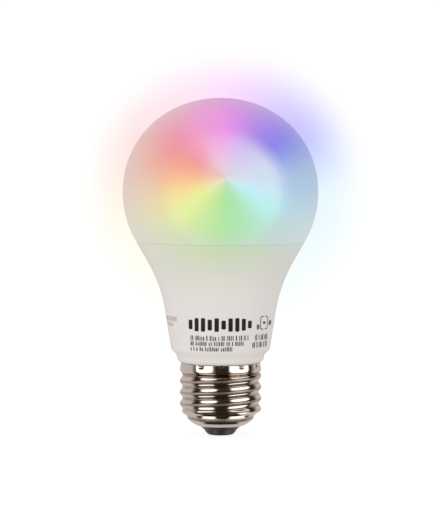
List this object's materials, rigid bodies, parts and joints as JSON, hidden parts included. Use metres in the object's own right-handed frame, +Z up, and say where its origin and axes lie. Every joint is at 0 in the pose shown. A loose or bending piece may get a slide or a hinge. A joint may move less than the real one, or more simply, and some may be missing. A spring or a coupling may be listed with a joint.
{
  "type": "smart light bulb",
  "caption": "Smart LED bulb: frosted globe on a white waisted housing, Edison screw base, with LED board, heat sink, driver and radio board inside.",
  "frame": {"origin": "centre of the contact's flat tip, the lowest point of the bulb", "axes": "+Z up along the bulb's axis towards the globe; +X to the right in the front view, +Y away from the viewer"},
  "size_m": [0.0624, 0.0624, 0.108],
  "materials": {
    "frosted_diffuser": "frosted milky polycarbonate, satin",
    "housing_plastic": "satin white moulded plastic",
    "silicone": "cured adhesive bead, matt",
    "aluminium_sink": "pressed sheet, brushed",
    "thermal_pad": "soft grey gap filler, matt",
    "white_mask": "white solder mask on an aluminium board",
    "green_mask": "green solder mask on glass epoxy board",
    "black_mask": "black solder mask on glass epoxy board",
    "led_phosphor": "white LED packages with pale yellow phosphor",
    "led_colour": "white LED packages with clear wells",
    "steel_screw": "zinc-plated",
    "tinned_metal": "tinned, satin",
    "gold_pins": "gold flash",
    "copper": null,
    "black_nylon": "moulded, fine grain",
    "black_epoxy": "moulded chip bodies, fine grain",
    "ferrite": "sintered, matt dark grey",
    "blue_sleeve": "shrink sleeve on an aluminium can",
    "black_sleeve": "shrink sleeve on an aluminium can",
    "yellow_film": "cast box of a film capacitor",
    "blue_coating": "dipped coating",
    "green_coating": "flameproof coating with colour bands",
    "nickel": "bright nickel-plated brass, warm tint",
    "black_glaze": "black vitrified glass, glossy",
    "brass": "tinned brass rivet",
    "red_insulation": "insulated lead"
  },
  "bodies": {
    "root": {"diffuser_dome": "frosted_diffuser", "diffuser_seal": "silicone", "housing_shell": "housing_plastic", "heat_sink_cup": "aluminium_sink", "thermal_pad": "thermal_pad", "led_board": "white_mask", "led_white_1": "led_phosphor", "led_white_2": "led_phosphor", "led_white_3": "led_phosphor", "led_white_4": "led_phosphor", "led_white_5": "led_phosphor", "led_white_6": "led_phosphor", "led_white_7": "led_phosphor", "led_white_8": "led_phosphor", "led_white_9": "led_phosphor", "led_rgb_1": "led_colour", "led_rgb_2": "led_colour", "led_rgb_3": "led_colour", "led_rgb_4": "led_colour", "led_rgb_5": "led_colour", "led_rgb_6": "led_colour", "board_screw_1": "steel_screw", "board_screw_2": "steel_screw", "board_screw_3": "steel_screw", "driver_board": "green_mask", "header_strip": "black_nylon", "header_pin_1": "gold_pins", "header_pin_2": "gold_pins", "header_pin_3": "gold_pins", "header_pin_4": "gold_pins", "header_pin_5": "gold_pins", "board_socket": "black_nylon", "wifi_board": "black_mask", "wifi_shield_can": "tinned_metal", "wifi_antenna": "gold_pins", "transformer_core": "ferrite", "transformer_bobbin": "black_nylon", "transformer_winding": "copper", "bulk_capacitor": "blue_sleeve", "output_capacitor": "black_sleeve", "film_capacitor": "yellow_film", "bridge_rectifier": "black_epoxy", "driver_ic": "black_epoxy", "regulator_ic": "black_epoxy", "filter_inductor": "ferrite", "fuse_resistor": "green_coating", "varistor": "blue_coating", "screw_shell": "nickel", "base_insulator": "black_glaze", "centre_contact": "brass", "live_lead": "red_insulation", "neutral_lead": "tinned_metal"}
  },
  "joints": []
}
